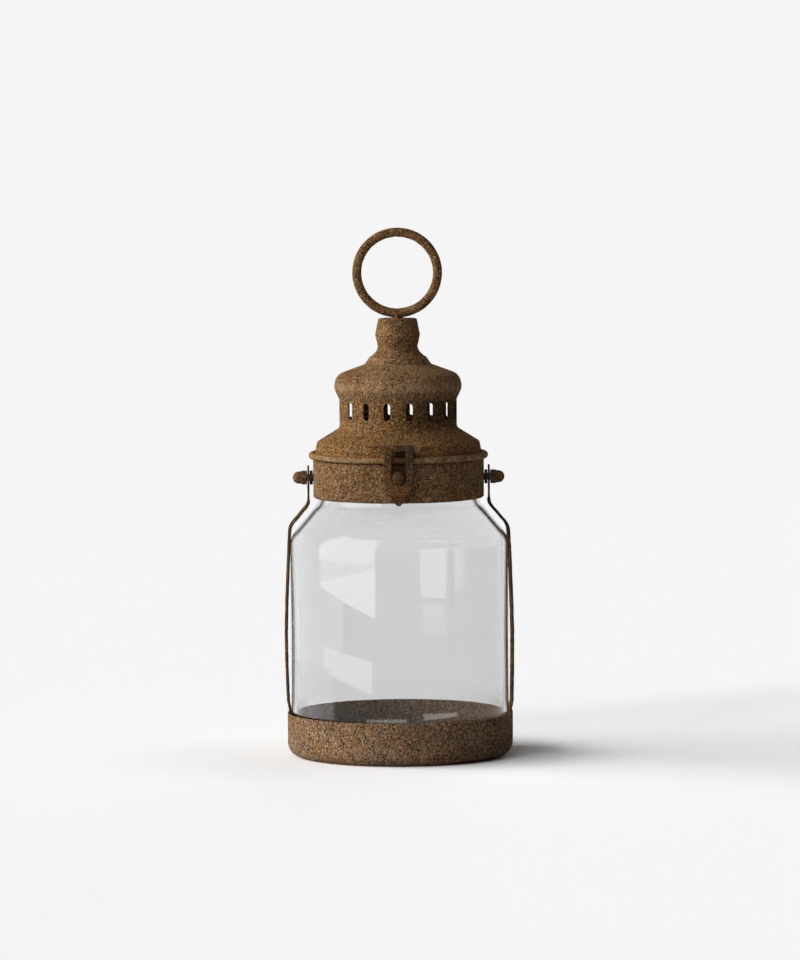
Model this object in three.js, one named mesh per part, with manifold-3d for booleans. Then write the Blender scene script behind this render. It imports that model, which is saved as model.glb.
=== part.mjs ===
import * as THREE from "three";
import { mergeVertices } from "three/addons/utils/BufferGeometryUtils.js";
import Module from "manifold-3d";

// A rust-coated metal lantern with a clear glass jar and a hinged lid, in millimetres.
// It stands on z = 0 with its axis on Z. The hasp is at the front, -Y, the lid's hinge at the
// back, +Y, and the two straps stand at -X and +X.

// Fits
const seatGap = 0.3; // between two pieces that rest on or clamp each other
const runningGap = 0.3; // around a pin, and beside the knuckles that turn on it
const overcut = 1; // how far a cutter runs past the faces that it cuts

// Glass jar
const jarRadius = 61.9;
const jarWall = 2.8;
const jarFloor = 4;
const jarHeelRound = 8;
const jarBodyHeight = 124.4; // from its underside to the start of the shoulder
const jarShoulderHeight = 19.8;
const jarShoulderRound = 6;
const jarNeckRadius = 45.3;
const jarNeckHeight = 19.9;
const jarNeckRound = 4;

// Base tray
const traySheet = 0.6;
const trayHeight = 24.6;
const trayFlare = 0.05; // how much wider the rim is than the foot
const trayCorner = 8;
const trayRoom = 1.75; // between the jar and the tray's wall, for the straps

// Collar band around the jar's neck
const collarSheet = 0.8;
const collarHeight = 21.9;
const collarRoom = 2.4; // between the neck and the band, for the heads of bolts and rivets
const collarLift = 1.8; // from the top of the jar's shoulder to the band's lower edge
const collarTurnRound = 1.5;

// Straps that tie the tray to the collar
const strapWidth = 9;
const strapThickness = 1.0;
const strapFootHeight = 9.5; // of its lower end above the ground
const strapRimLift = 0.8; // above the tray's rim, where it starts to step out over the rim
const strapStepRise = 5.6;
const strapStep = 1.2;
const strapStepRound = 5;
const strapBow = 1.4; // how far its bow past the jar would stand out further, before its rounding
const strapBowHeight = 70;
const strapBowRound = 600;
const strapBendLift = 5.5; // of the outer bend above the start of the jar's shoulder
const strapBendIn = 0.15; // of the outer bend from the jar's side towards the axis
const strapBendDrop = 3.3; // of the inner bend below the collar's lower edge
const strapBendRound = 5;
const strapTopBendRound = 8;
const strapTipReach = 6.8; // from the bolt to its upper end
const strapTipRound = 3;

// Bolts through the straps
const boltRadius = 2;
const boltHeadRadius = 3.5;
const boltHeadThickness = 1.4;
const boltLift = 11.6; // above the collar's lower edge
const spacerAcross = 7.8; // over the flats
const spacerThickness = 1.7;
const capNutAcross = 7.6; // over the flats
const capNutHexHeight = 3.2;
const capNutDomeRadius = 3.5;
const capNutLength = 8.1;
const capNutWall = 2.5; // from the bore's end to the tip

// Lid skirt with its rolled and wired edge
const lidSheet = 0.6;
const rimWireRadius = 1.1;
const rollOverhang = 0.5; // of the roll's centre over the collar's outside
const skirtTopRadius = 46.15;
const skirtHeight = 7.75; // from the roll's centre to the corner under the cone
const skirtCornerRound = 1.5;
const coneRise = 8.05;
const coneFillet = 4.5;
const coneNeckHeight = 3.3; // from the cone's upper end to the seat of the gallery
const spigotHeight = 1.7; // of the neck's edge inside the gallery

// Vent gallery
const galleryRadius = 33.3;
const gallerySheet = 0.6;
const galleryHeight = 12.1;
const galleryFlange = 2.8;
const slotCount = 16;
const slotWidth = 3.8;
const slotHeight = 9.2;
const slotLift = 6.5; // of a slot's middle above the gallery's lower edge

// Dome cap
const domeSheet = 0.8;
const domeBulgeRadius = 36.5;
const domeBulgeHeight = 6.7;
const domeBulgeRound = 3;
const domeShoulderRadius = 34.5;
const domeShoulderHeight = 14;
const domeShoulderRound = 3.5;
const bellRadius = 18.9;
const bellStart = 19.9;
const bellFillet = 3;
const bellTopRadius = 15.9;
const domeHeight = 24.3;

// Finial
const finialFootRadius = 14.9;
const finialNeckRadius = 11.3;
const finialNeckHeight = 5.6;
const finialBulgeRadius = 12.75;
const finialBulgeHeight = 12;
const finialBulgeRound = 2.5;
const finialTopRadius = 10.7;
const finialHeight = 21.2;
const finialTopRound = 1;

// Carry ring, with a threaded stem that holds the finial and the dome together
const ringOuterRadius = 25.5;
const ringWireRadius = 2.6;
const stemRadius = 2.5;
const stemReach = 1.5; // beyond its nut
const weldWidth = 4.2;
const weldHeight = 3.4;
const weldReach = 3.3; // in front of and behind the ring's plane
const washerRadius = 6;
const washerThickness = 1.2;
const ringNutAcross = 8;
const ringNutHeight = 4;

// Hasp and hinge, which share their pins, knuckles and forks
const forkWidth = 16.3;
const forkSheet = 1.2;
const forkToRoll = 0.6; // from the lid's roll to the fork that passes it
const knuckleRadius = 2;
const pinRadius = 1;
const pinHeadRadius = 1.7;
const pinHeadThickness = 0.5;
const pinLift = 6.9; // above the roll's centre
const lugSheet = 1.1;
const lugFootLift = 2.8; // of the lug's foot above the roll's centre

const haspBendLift = 5.1; // of the bend below the roll's centre
const haspTipDrop = 2.5; // of the pointed end, before its rounding, below the collar's edge
const haspTipStandoff = 1.1;
const haspTaperLift = 8.7; // above the collar's lower edge, where the plate starts to narrow
const haspTaperRound = 9;
const haspBendRound = 2;
const haspTipRound = 1.7;
const studRadius = 3.7;
const studRoom = 0.5; // between the stud and the hasp's slot
const studLift = 14.7; // above the collar's lower edge
const studShankRadius = 1.7;
const studProud = 1.7; // beyond the hasp
const studDome = 2;

const hingePlateLift = 3.3; // of its lower end above the collar's lower edge
const hingeJoggleRise = 3.4;
const hingeJoggleDrop = 3.2; // from the roll's centre down to the joggle
const hingeWindowDrop = 5; // from the pin down to the window's lower edge
const hingeRound = 2.5;
const rivetLifts = [6.7, 13.5]; // above the collar's lower edge
const rivetRadius = 1.6;
const rivetHeadRadius = 2.9;
const rivetHeadHeight = 1.3;
const tailHeadThickness = 0.9; // of the heads formed inside the collar

// Fineness of round pieces
const bodySides = 48;
const lidSides = 40;
const knobSides = 32;
const smallSides = 12;
const arcStep = THREE.MathUtils.degToRad(30);

// Heights and radii that follow from the sizes above
const jarBottom = traySheet + seatGap;
const shoulderStart = jarBottom + jarBodyHeight;
const shoulderEnd = shoulderStart + jarShoulderHeight;
const jarTop = shoulderEnd + jarNeckHeight;
const trayFootRadius = jarRadius + trayRoom + traySheet;
const trayRimRadius = trayFootRadius + trayFlare;
const collarInside = jarNeckRadius + collarRoom;
const collarRadius = collarInside + collarSheet;
const collarBottom = shoulderEnd + collarLift;
const collarTop = collarBottom + collarHeight;
const rollRadius = rimWireRadius + seatGap + lidSheet;
const rollCentreRadius = collarRadius + rollOverhang;
const rollZ = collarTop + seatGap + rollRadius;
const skirtFootRadius = rollCentreRadius - rollRadius + lidSheet;
const skirtTop = rollZ + skirtHeight;
const gallerySeat = skirtTop + coneRise + coneNeckHeight;
const galleryBottom = gallerySeat + seatGap;
const galleryTop = galleryBottom + galleryHeight;
const domeBottom = galleryTop + seatGap;
const domeTop = domeBottom + domeHeight;
const finialBottom = domeTop + seatGap;
const finialTop = finialBottom + finialHeight;
const ringCentreZ = finialTop + seatGap + ringOuterRadius;
const washerTop = domeTop - domeSheet - seatGap;
const ringNutTop = washerTop - washerThickness - seatGap;
const boltZ = collarBottom + boltLift;
const strapTipInside = collarRadius + spacerThickness + 2 * seatGap;
const capNutSeat = strapTipInside + strapThickness + seatGap;
const studZ = collarBottom + studLift;
const slotRadius = studRadius + studRoom;
const lugHalf = slotRadius - runningGap;
const forkInside = rollCentreRadius + rollRadius + forkToRoll;
const pinReach = forkInside + forkSheet - knuckleRadius; // of each pin from the lantern's axis
const pinZ = rollZ + pinLift;
const headSeat = collarInside - seatGap; // of the heads inside the collar

const wasm = await Module();
wasm.setup();

// A line through corners [a, b, round], with an arc at each corner that has a round.
function rounded(corners) {
  const count = corners.length;
  return corners.flatMap(([a, b, round], i) => {
    const corner = new THREE.Vector2(a, b);
    if (!round) return [corner];
    const [beforeA, beforeB] = corners[(i + count - 1) % count];
    const [afterA, afterB] = corners[(i + 1) % count];
    const before = new THREE.Vector2(beforeA, beforeB).sub(corner);
    const after = new THREE.Vector2(afterA, afterB).sub(corner);
    const half = before.angleTo(after) / 2;
    const longest = 0.49 * Math.min(before.length(), after.length());
    const reach = Math.min(round / Math.tan(half), longest);
    const radius = reach * Math.tan(half);
    before.normalize();
    after.normalize();
    const middle = before.clone().add(after).normalize();
    const centre = corner.clone().addScaledVector(middle, radius / Math.sin(half));
    const first = corner.clone().addScaledVector(before, reach);
    const turn = -Math.sign(before.cross(after)) * (Math.PI - 2 * half);
    const steps = Math.max(2, Math.ceil(Math.abs(turn) / arcStep));
    return Array.from({ length: steps + 1 }, (_, k) => {
      return first.clone().rotateAround(centre, (turn * k) / steps);
    });
  });
}

// Points on an arc about (a, b), from one angle to another in degrees.
function arc(a, b, radius, from, to) {
  const sweep = THREE.MathUtils.degToRad(to - from);
  const steps = Math.ceil(Math.abs(sweep) / (2 * arcStep));
  return Array.from({ length: steps + 1 }, (_, k) => {
    const angle = THREE.MathUtils.degToRad(from) + (sweep * k) / steps;
    return new THREE.Vector2(a + radius * Math.cos(angle), b + radius * Math.sin(angle));
  });
}

// The path moved sideways to its left by a distance, with its corners kept sharp.
function moved(path, distance) {
  const normals = path.slice(1).map((point, i) => {
    const along = point.clone().sub(path[i]).normalize();
    return new THREE.Vector2(-along.y, along.x);
  });
  return path.map((point, i) => {
    const before = normals[Math.max(i - 1, 0)];
    const after = normals[Math.min(i, normals.length - 1)];
    const normal = before.clone().add(after).normalize();
    return point.clone().addScaledVector(normal, distance / normal.dot(before));
  });
}

// The outline of a sheet with the path on one side and its thickness to the left.
function sheet(path, thickness) {
  return [...path, ...moved(path, thickness).reverse()];
}

// A solid turned about Z from an outline of (radius, z), anticlockwise.
function turned(outline, sides = bodySides) {
  const onAxis = outline[0].x === 0;
  const profile = onAxis ? outline : [...outline, outline[0]];
  return new THREE.LatheGeometry(profile, sides).rotateX(Math.PI / 2);
}

// A turned solid from radii and heights, which starts and ends on the axis.
function turnedSolid(corners, sides = smallSides) {
  return turned(rounded([[0, corners[0][1]], ...corners, [0, corners.at(-1)[1]]]), sides);
}

// A plain rod or prism along Z.
function rod(radius, from, to, sides = smallSides) {
  return turnedSolid([[radius, from], [radius, to]], sides);
}

function hexagon(across, from, to) {
  return rod(across / 2 / Math.cos(Math.PI / 6), from, to, 6);
}

// What was built along Z, laid along +X, -Y or +Y.
function toRight(geometry) {
  return geometry.rotateY(Math.PI / 2);
}

function toFront(geometry) {
  return geometry.rotateX(Math.PI / 2);
}

function toBack(geometry) {
  return geometry.rotateX(-Math.PI / 2);
}

// An outline of (distance from the axis, z), extruded across X, standing on the front.
function acrossX(outline, halfWidth) {
  const shape = new THREE.Shape(outline);
  const slab = new THREE.ExtrudeGeometry(shape, { depth: 2 * halfWidth, bevelEnabled: false });
  slab.translate(0, 0, -halfWidth);
  const basis = new THREE.Matrix4().makeBasis(
    new THREE.Vector3(0, -1, 0),
    new THREE.Vector3(0, 0, 1),
    new THREE.Vector3(-1, 0, 0),
  );
  return slab.applyMatrix4(basis);
}

// An outline of (x, z), extruded towards the front from one distance to another.
function frontward(outline, from, to) {
  const shape = new THREE.Shape(outline);
  const slab = new THREE.ExtrudeGeometry(shape, { depth: to - from, bevelEnabled: false });
  return slab.translate(0, 0, from).rotateX(Math.PI / 2);
}

function toManifold(geometry) {
  const bare = geometry.clone();
  bare.deleteAttribute("normal");
  bare.deleteAttribute("uv");
  const merged = mergeVertices(bare, 1e-4);
  const vertProperties = new Float32Array(merged.attributes.position.array);
  const triVerts = new Uint32Array(merged.index.array);
  return new wasm.Manifold(new wasm.Mesh({ numProp: 3, vertProperties, triVerts }));
}

function fromManifold(solid) {
  const mesh = solid.getMesh();
  const geometry = new THREE.BufferGeometry();
  geometry.setAttribute("position", new THREE.BufferAttribute(mesh.vertProperties, 3));
  geometry.setIndex(new THREE.BufferAttribute(mesh.triVerts, 1));
  geometry.computeVertexNormals();
  return geometry;
}

function joined(...geometries) {
  return fromManifold(geometries.map(toManifold).reduce((sum, next) => sum.add(next)));
}

function cut(geometry, ...cutters) {
  const start = toManifold(geometry);
  return fromManifold(cutters.map(toManifold).reduce((rest, next) => rest.subtract(next), start));
}

function common(first, second) {
  return fromManifold(toManifold(first).intersect(toManifold(second)));
}

// Materials
function rustCoat() {
  return new THREE.MeshStandardMaterial({ color: 0x6b5138, roughness: 0.9, metalness: 0.1 });
}

function blackSteel() {
  return new THREE.MeshStandardMaterial({ color: 0x1c1a18, roughness: 0.6, metalness: 0.6 });
}

function clearGlass() {
  const look = { color: 0xeef1ef, roughness: 0.05, transparent: true, opacity: 0.3 };
  return new THREE.MeshStandardMaterial(look);
}

// Base tray: a pressed pan
function baseTray() {
  const outside = rounded([
    [0, 0],
    [trayFootRadius, 0, trayCorner],
    [trayRimRadius, trayHeight],
  ]);
  return turned(sheet(outside, traySheet));
}

// Glass jar: closed at the bottom, with a sloping shoulder and a straight neck
function glassJar() {
  const lean = Math.atan2(jarRadius - jarNeckRadius, jarShoulderHeight);
  const drop = jarWall * Math.tan(lean / 2);
  const lip = 0.45 * jarWall;
  const bore = jarNeckRadius - jarWall;
  const inside = jarRadius - jarWall;
  return turned(
    rounded([
      [0, jarBottom],
      [jarRadius, jarBottom, jarHeelRound],
      [jarRadius, shoulderStart, jarShoulderRound],
      [jarNeckRadius, shoulderEnd, jarNeckRound],
      [jarNeckRadius, jarTop, lip],
      [bore, jarTop, lip],
      [bore, shoulderEnd - drop, jarNeckRound + jarWall],
      [inside, shoulderStart - drop, jarShoulderRound - jarWall],
      [inside, jarBottom + jarFloor, jarHeelRound - jarWall],
      [0, jarBottom + jarFloor],
    ]),
  );
}

// A cutter for a hole through the collar, along Z before it is laid in its direction
function collarHole(radius) {
  return rod(radius, collarInside - collarSheet, collarRadius + collarSheet);
}

// Collar band: its lower edge is turned in to rest around the neck
function collarBand() {
  const outside = rounded([
    [jarNeckRadius + seatGap, collarBottom],
    [collarRadius, collarBottom, collarTurnRound],
    [collarRadius, collarTop],
  ]);
  const boltHole = toRight(collarHole(boltRadius + runningGap)).translate(0, 0, boltZ);
  const studHole = toFront(collarHole(studShankRadius + seatGap)).translate(0, 0, studZ);
  const rivetHoles = rivetLifts.map((lift) => {
    return toBack(collarHole(rivetRadius + seatGap)).translate(0, 0, collarBottom + lift);
  });
  const band = turned(sheet(outside, collarSheet));
  return cut(band, boltHole, boltHole.clone().rotateZ(Math.PI), studHole, ...rivetHoles);
}

// Strap at +X: spot-welded inside the tray, stepped out over its rim, bowed past the jar and bent in
// over its shoulder
function strap() {
  const inTray = jarRadius + seatGap;
  const aboveRim = trayHeight + strapRimLift;
  const tipZ = boltZ + strapTipReach;
  const half = strapWidth / 2;
  const inside = rounded([
    [inTray, strapFootHeight],
    [inTray, aboveRim, strapStepRound],
    [inTray + strapStep, aboveRim + strapStepRise, strapStepRound],
    [inTray + strapStep + strapBow, strapBowHeight, strapBowRound],
    [jarRadius - strapBendIn, shoulderStart + strapBendLift, strapBendRound],
    [strapTipInside, collarBottom - strapBendDrop, strapTopBendRound],
    [strapTipInside, tipZ],
  ]);
  const strip = acrossX([...inside, ...moved(inside, -strapThickness).reverse()], half);
  const face = rounded([
    [-half, 0],
    [half, 0],
    [half, tipZ, strapTipRound],
    [-half, tipZ, strapTipRound],
  ]);
  const blank = frontward(face, 0, 2 * jarRadius);
  const hole = toFront(collarHole(boltRadius + runningGap)).translate(0, 0, boltZ);
  const longHole = hole.clone().translate(0, -spacerThickness - strapThickness, 0);
  return cut(common(strip, blank), longHole).rotateZ(Math.PI / 2);
}

// Bolt at +X with a thin head inside the collar
function bolt() {
  const end = capNutSeat + capNutLength - capNutWall - seatGap;
  return toRight(
    turnedSolid([
      [boltHeadRadius, headSeat - boltHeadThickness],
      [boltHeadRadius, headSeat],
      [boltRadius, headSeat],
      [boltRadius, end],
    ]),
  ).translate(0, 0, boltZ);
}

// Thin nut that clamps the bolt to the collar and keeps the strap clear of it
function spacerNut() {
  const start = collarRadius + seatGap;
  const end = start + spacerThickness;
  const bore = rod(boltRadius + runningGap, start - overcut, end + overcut);
  return toRight(cut(hexagon(spacerAcross, start, end), bore)).translate(0, 0, boltZ);
}

// Cap nut with a blind bore
function capNut() {
  const end = capNutSeat + capNutLength;
  const hex = hexagon(capNutAcross, capNutSeat, capNutSeat + capNutHexHeight);
  const dome = turnedSolid([
    [capNutDomeRadius, capNutSeat + capNutHexHeight / 2],
    [capNutDomeRadius, end, capNutDomeRadius],
  ]);
  const bore = rod(boltRadius + runningGap, capNutSeat - overcut, end - capNutWall);
  return toRight(cut(joined(hex, dome), bore)).translate(0, 0, boltZ);
}

// Lid skirt: a roll around the rim wire, a short wall, a cone and a spigot for the gallery
function lidSkirt() {
  const spigotRadius = galleryRadius - gallerySheet - seatGap;
  const roll = arc(rollCentreRadius, rollZ, rollRadius - lidSheet, 130, -180);
  const above = rounded([
    [skirtFootRadius, rollZ],
    [skirtTopRadius, skirtTop, skirtCornerRound],
    [galleryRadius, skirtTop + coneRise, coneFillet],
    [galleryRadius, gallerySeat],
    [spigotRadius, gallerySeat],
    [spigotRadius, gallerySeat + spigotHeight],
  ]);
  return turned(sheet([...roll, ...above.slice(1)], lidSheet), lidSides);
}

// Wire inside the rolled edge
function rimWire() {
  const wire = new THREE.TorusGeometry(rollCentreRadius, rimWireRadius, 6, lidSides);
  return wire.translate(0, 0, rollZ);
}

// Vent gallery: a band with upright slots, turned in at the top
function ventGallery() {
  const outside = rounded([
    [galleryRadius, galleryBottom],
    [galleryRadius, galleryTop],
    [galleryRadius - galleryFlange, galleryTop],
  ]);
  const half = slotWidth / 2;
  const low = galleryBottom + slotLift - slotHeight / 2;
  const high = low + slotHeight;
  const slot = rounded([
    [-half, low, half],
    [half, low, half],
    [half, high, half],
    [-half, high, half],
  ]);
  const cutter = frontward(slot, galleryRadius - 2 * half, galleryRadius + half);
  const slots = Array.from({ length: slotCount }, (_, i) => {
    return cutter.clone().rotateZ(((i + 0.5) * 2 * Math.PI) / slotCount);
  });
  return cut(turned(sheet(outside, gallerySheet), lidSides), ...slots);
}

// Dome cap: turned in at the bottom to rest on the gallery, and drawn up into a bell
function domeCap() {
  const outside = rounded([
    [galleryRadius - galleryFlange, domeBottom],
    [galleryRadius, domeBottom],
    [domeBulgeRadius, domeBottom + domeBulgeHeight, domeBulgeRound],
    [domeShoulderRadius, domeBottom + domeShoulderHeight, domeShoulderRound],
    [bellRadius, domeBottom + bellStart, bellFillet],
    [bellTopRadius, domeTop, domeSheet],
    [stemRadius + seatGap, domeTop],
  ]);
  return turned(sheet(outside, domeSheet), lidSides);
}

// Finial: a waisted knob, bored for the stem
function finial() {
  const bore = stemRadius + seatGap;
  const foot = new THREE.QuadraticBezierCurve(
    new THREE.Vector2(finialFootRadius, finialBottom),
    new THREE.Vector2(finialNeckRadius, finialBottom + finialNeckHeight / 2),
    new THREE.Vector2(finialNeckRadius, finialBottom + finialNeckHeight),
  );
  const above = rounded([
    [finialNeckRadius, finialBottom + finialNeckHeight],
    [finialBulgeRadius, finialBottom + finialBulgeHeight, finialBulgeRound],
    [finialTopRadius, finialTop, finialTopRound],
    [bore, finialTop],
  ]);
  const outline = [new THREE.Vector2(bore, finialBottom), ...foot.getPoints(5), ...above.slice(1)];
  return turned(outline, knobSides);
}

// Carry ring, welded to the stem that goes down through the finial and the dome
function carryRing() {
  const centreRadius = ringOuterRadius - ringWireRadius;
  const stemEnd = ringNutTop - ringNutHeight - stemReach;
  const ring = new THREE.TorusGeometry(centreRadius, ringWireRadius, 10, 44);
  ring.rotateX(Math.PI / 2).translate(0, 0, ringCentreZ);
  const stem = rod(stemRadius, stemEnd, ringCentreZ - centreRadius, smallSides);
  const weld = new THREE.SphereGeometry(1, 12, 8);
  weld.scale(weldWidth / 2, weldReach, weldHeight / 2);
  weld.translate(0, 0, finialTop + seatGap + weldHeight / 2);
  return joined(ring, stem, weld);
}

// Washer and nut on the stem, under the dome's top
function ringWasher() {
  const bore = stemRadius + seatGap;
  return turned(
    rounded([
      [bore, washerTop - washerThickness],
      [washerRadius, washerTop - washerThickness],
      [washerRadius, washerTop],
      [bore, washerTop],
    ]),
    smallSides,
  );
}

function ringNut() {
  const start = ringNutTop - ringNutHeight;
  const nut = hexagon(ringNutAcross, start, ringNutTop);
  return cut(nut, rod(stemRadius + seatGap, start - overcut, ringNutTop + overcut));
}

// A cutter or a pin's rod across X at the pins' place on the front
function pinRod(radius, halfLength) {
  return rod(radius, -halfLength, halfLength).rotateY(Math.PI / 2).translate(0, -pinReach, pinZ);
}

// Pin with both ends peened over
function pin() {
  const neck = forkWidth / 2 + runningGap;
  const heads = [-1, 1].map((side) => {
    const head = pinRod(pinHeadRadius, pinHeadThickness / 2);
    return head.translate(side * (neck + pinHeadThickness / 2), 0, 0);
  });
  return joined(pinRod(pinRadius, neck + pinHeadThickness / 2), ...heads);
}

// Lug on the lid: a foot welded to the skirt's wall and a knuckle between the fork's arms
function lidLug() {
  const lean = Math.atan2(skirtFootRadius - skirtTopRadius, skirtHeight);
  const wallAt = (z) => skirtFootRadius - (z - rollZ) * Math.tan(lean) + seatGap / Math.cos(lean);
  const footLow = rollZ + lugFootLift;
  const tabLow = pinZ - lugSheet / 2;
  const tabHigh = pinZ + lugSheet / 2;
  const outline = [
    new THREE.Vector2(wallAt(footLow), footLow),
    new THREE.Vector2(wallAt(footLow) + lugSheet, footLow),
    new THREE.Vector2(wallAt(tabLow) + lugSheet, tabLow),
    new THREE.Vector2(pinReach, tabLow),
    new THREE.Vector2(pinReach, tabHigh),
    new THREE.Vector2(wallAt(tabHigh), tabHigh),
  ];
  const body = joined(acrossX(outline, lugHalf), pinRod(knuckleRadius, lugHalf));
  return cut(body, pinRod(pinRadius + runningGap, lugHalf + overcut));
}

// A plate at the front that forks into two arms, which end in knuckles on a pin. The path is the
// plate's inner face from below up to the pin, and the face is its outline seen from the front.
function fork(path, face, windowLow) {
  const half = forkWidth / 2;
  const strip = acrossX([...path, ...moved(path, -forkSheet).reverse()], half);
  const plate = common(strip, frontward(face, 0, 2 * pinReach));
  const opening = rounded([
    [-slotRadius, windowLow, slotRadius],
    [slotRadius, windowLow, slotRadius],
    [slotRadius, pinZ + 2 * knuckleRadius],
    [-slotRadius, pinZ + 2 * knuckleRadius],
  ]);
  const window = frontward(opening, collarInside, pinReach + 2 * knuckleRadius);
  const knuckles = pinRod(knuckleRadius, half);
  return cut(joined(plate, knuckles), window, pinRod(pinRadius + runningGap, half + overcut));
}

// Hasp: its slot drops over the stud on the collar, and it narrows to a small round tip
function hasp() {
  const half = forkWidth / 2;
  const tipLow = collarBottom - haspTipDrop;
  const taper = collarBottom + haspTaperLift;
  const path = rounded([
    [collarRadius + haspTipStandoff, tipLow],
    [forkInside, rollZ - haspBendLift, haspBendRound],
    [forkInside, pinZ],
  ]);
  const face = rounded([
    [0, tipLow, haspTipRound],
    [half, taper, haspTaperRound],
    [half, pinZ],
    [-half, pinZ],
    [-half, taper, haspTaperRound],
  ]);
  return fork(path, face, studZ - slotRadius);
}

// Hinge plate: riveted to the collar, then set off to pass the lid's roll
function hingePlate() {
  const half = forkWidth / 2;
  const low = collarBottom + hingePlateLift;
  const joggle = rollZ - hingeJoggleDrop;
  const path = rounded([
    [collarRadius + seatGap, low],
    [collarRadius + seatGap, joggle - hingeJoggleRise],
    [forkInside, joggle],
    [forkInside, pinZ],
  ]);
  const face = rounded([
    [-half, low, hingeRound],
    [half, low, hingeRound],
    [half, pinZ],
    [-half, pinZ],
  ]);
  const plate = fork(path, face, pinZ - hingeWindowDrop);
  const rivetHoles = rivetLifts.map((lift) => {
    const hole = rod(rivetRadius + seatGap, collarRadius, collarRadius + 3 * forkSheet);
    return toFront(hole).translate(0, 0, collarBottom + lift);
  });
  return cut(plate, ...rivetHoles).rotateZ(Math.PI);
}

// Rivet through the hinge plate and the collar
function hingeRivet(lift) {
  const plateFace = collarRadius + seatGap + forkSheet;
  return toBack(
    turnedSolid([
      [rivetHeadRadius, headSeat - tailHeadThickness],
      [rivetHeadRadius, headSeat],
      [rivetRadius, headSeat],
      [rivetRadius, plateFace + seatGap],
      [rivetHeadRadius, plateFace + seatGap],
      [rivetHeadRadius, plateFace + seatGap + rivetHeadHeight, rivetHeadHeight],
    ]),
  ).translate(0, 0, collarBottom + lift);
}

// Stud that the hasp drops over, riveted to the collar
function latchStud() {
  const end = forkInside + forkSheet + studProud;
  return toFront(
    turnedSolid([
      [rivetHeadRadius, headSeat - tailHeadThickness],
      [rivetHeadRadius, headSeat],
      [studShankRadius, headSeat],
      [studShankRadius, collarRadius + seatGap],
      [studRadius, collarRadius + seatGap],
      [studRadius, end, studDome],
    ]),
  ).translate(0, 0, studZ);
}

const lantern = new THREE.Group();

function place(name, geometry, material = rustCoat(), turn = 0) {
  const mesh = new THREE.Mesh(geometry, material);
  mesh.name = name;
  mesh.rotation.z = turn;
  lantern.add(mesh);
}

place("base_tray", baseTray());
place("glass_jar", glassJar(), clearGlass());
place("collar_band", collarBand());
for (const [side, turn] of [["right", 0], ["left", Math.PI]]) {
  place(`strap_${side}`, strap(), rustCoat(), turn);
  place(`bolt_${side}`, bolt(), rustCoat(), turn);
  place(`spacer_nut_${side}`, spacerNut(), blackSteel(), turn);
  place(`cap_nut_${side}`, capNut(), rustCoat(), turn);
}
place("latch_stud", latchStud());
place("hinge_plate", hingePlate());
place("hinge_rivet_lower", hingeRivet(rivetLifts[0]));
place("hinge_rivet_upper", hingeRivet(rivetLifts[1]));
place("hinge_pin", pin(), rustCoat(), Math.PI);
place("lid_skirt", lidSkirt());
place("lid_rim_wire", rimWire(), blackSteel());
place("hinge_lug", lidLug(), rustCoat(), Math.PI);
place("latch_lug", lidLug());
place("hasp_pin", pin());
place("hasp", hasp());
place("vent_gallery", ventGallery());
place("dome_cap", domeCap());
place("finial", finial());
place("carry_ring", carryRing());
place("ring_washer", ringWasher());
place("ring_nut", ringNut());

export default lantern;
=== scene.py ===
import math

import bmesh
import bpy
from mathutils import Matrix, Vector, noise


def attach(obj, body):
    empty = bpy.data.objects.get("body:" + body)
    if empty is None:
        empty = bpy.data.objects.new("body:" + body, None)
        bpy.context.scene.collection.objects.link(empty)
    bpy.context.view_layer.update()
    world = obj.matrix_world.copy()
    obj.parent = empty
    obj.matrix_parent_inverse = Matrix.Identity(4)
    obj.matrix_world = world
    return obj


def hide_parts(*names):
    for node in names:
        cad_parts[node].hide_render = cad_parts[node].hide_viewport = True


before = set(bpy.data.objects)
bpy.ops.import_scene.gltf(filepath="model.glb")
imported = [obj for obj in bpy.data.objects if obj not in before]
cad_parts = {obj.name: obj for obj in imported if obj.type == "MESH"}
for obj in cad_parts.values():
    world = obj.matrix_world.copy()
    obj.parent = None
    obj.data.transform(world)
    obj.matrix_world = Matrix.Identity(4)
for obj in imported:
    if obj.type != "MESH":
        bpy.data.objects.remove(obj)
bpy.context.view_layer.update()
print("frame loaded:", len(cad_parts), "CAD nodes")

mm = 0.001  # sizes are written in millimetres
edgeShare = 0.45  # the round on a sheet's edge, as a share of its thickness
nutChamfer = 0.35
toRight = Matrix.Rotation(math.pi / 2, 4, "Y")  # what was turned about Z, laid along +X
toLeft = Matrix.Rotation(-math.pi / 2, 4, "Y")
toFront = Matrix.Rotation(math.pi / 2, 4, "X")
toBack = Matrix.Rotation(-math.pi / 2, 4, "X")


# A line through corners (a, b, round), with an arc at each corner that has a round
def rounded(corners, step=10):
    points = []
    for i, corner in enumerate(corners):
        here = Vector(corner[:2])
        if len(corner) < 3 or not corner[2]:
            points.append(here)
            continue
        before = Vector(corners[i - 1][:2]) - here
        after = Vector(corners[(i + 1) % len(corners)][:2]) - here
        half = before.angle(after) / 2
        reach = min(corner[2] / math.tan(half), 0.49 * min(before.length, after.length))
        before.normalize()
        after.normalize()
        centre = here + (before + after).normalized() * reach / math.cos(half)
        crossing = before.x * after.y - before.y * after.x
        turn = -math.copysign(math.pi - 2 * half, crossing)
        steps = max(2, math.ceil(abs(turn) / math.radians(step)))
        first = here + before * reach - centre
        points += [centre + Matrix.Rotation(turn * k / steps, 2) @ first for k in range(steps + 1)]
    return points


def arcPoints(a, b, radius, start, end, step=10):
    steps = math.ceil(abs(end - start) / step)
    angles = [math.radians(start + (end - start) * k / steps) for k in range(steps + 1)]
    return [Vector((a + radius * math.cos(t), b + radius * math.sin(t))) for t in angles]


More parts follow.
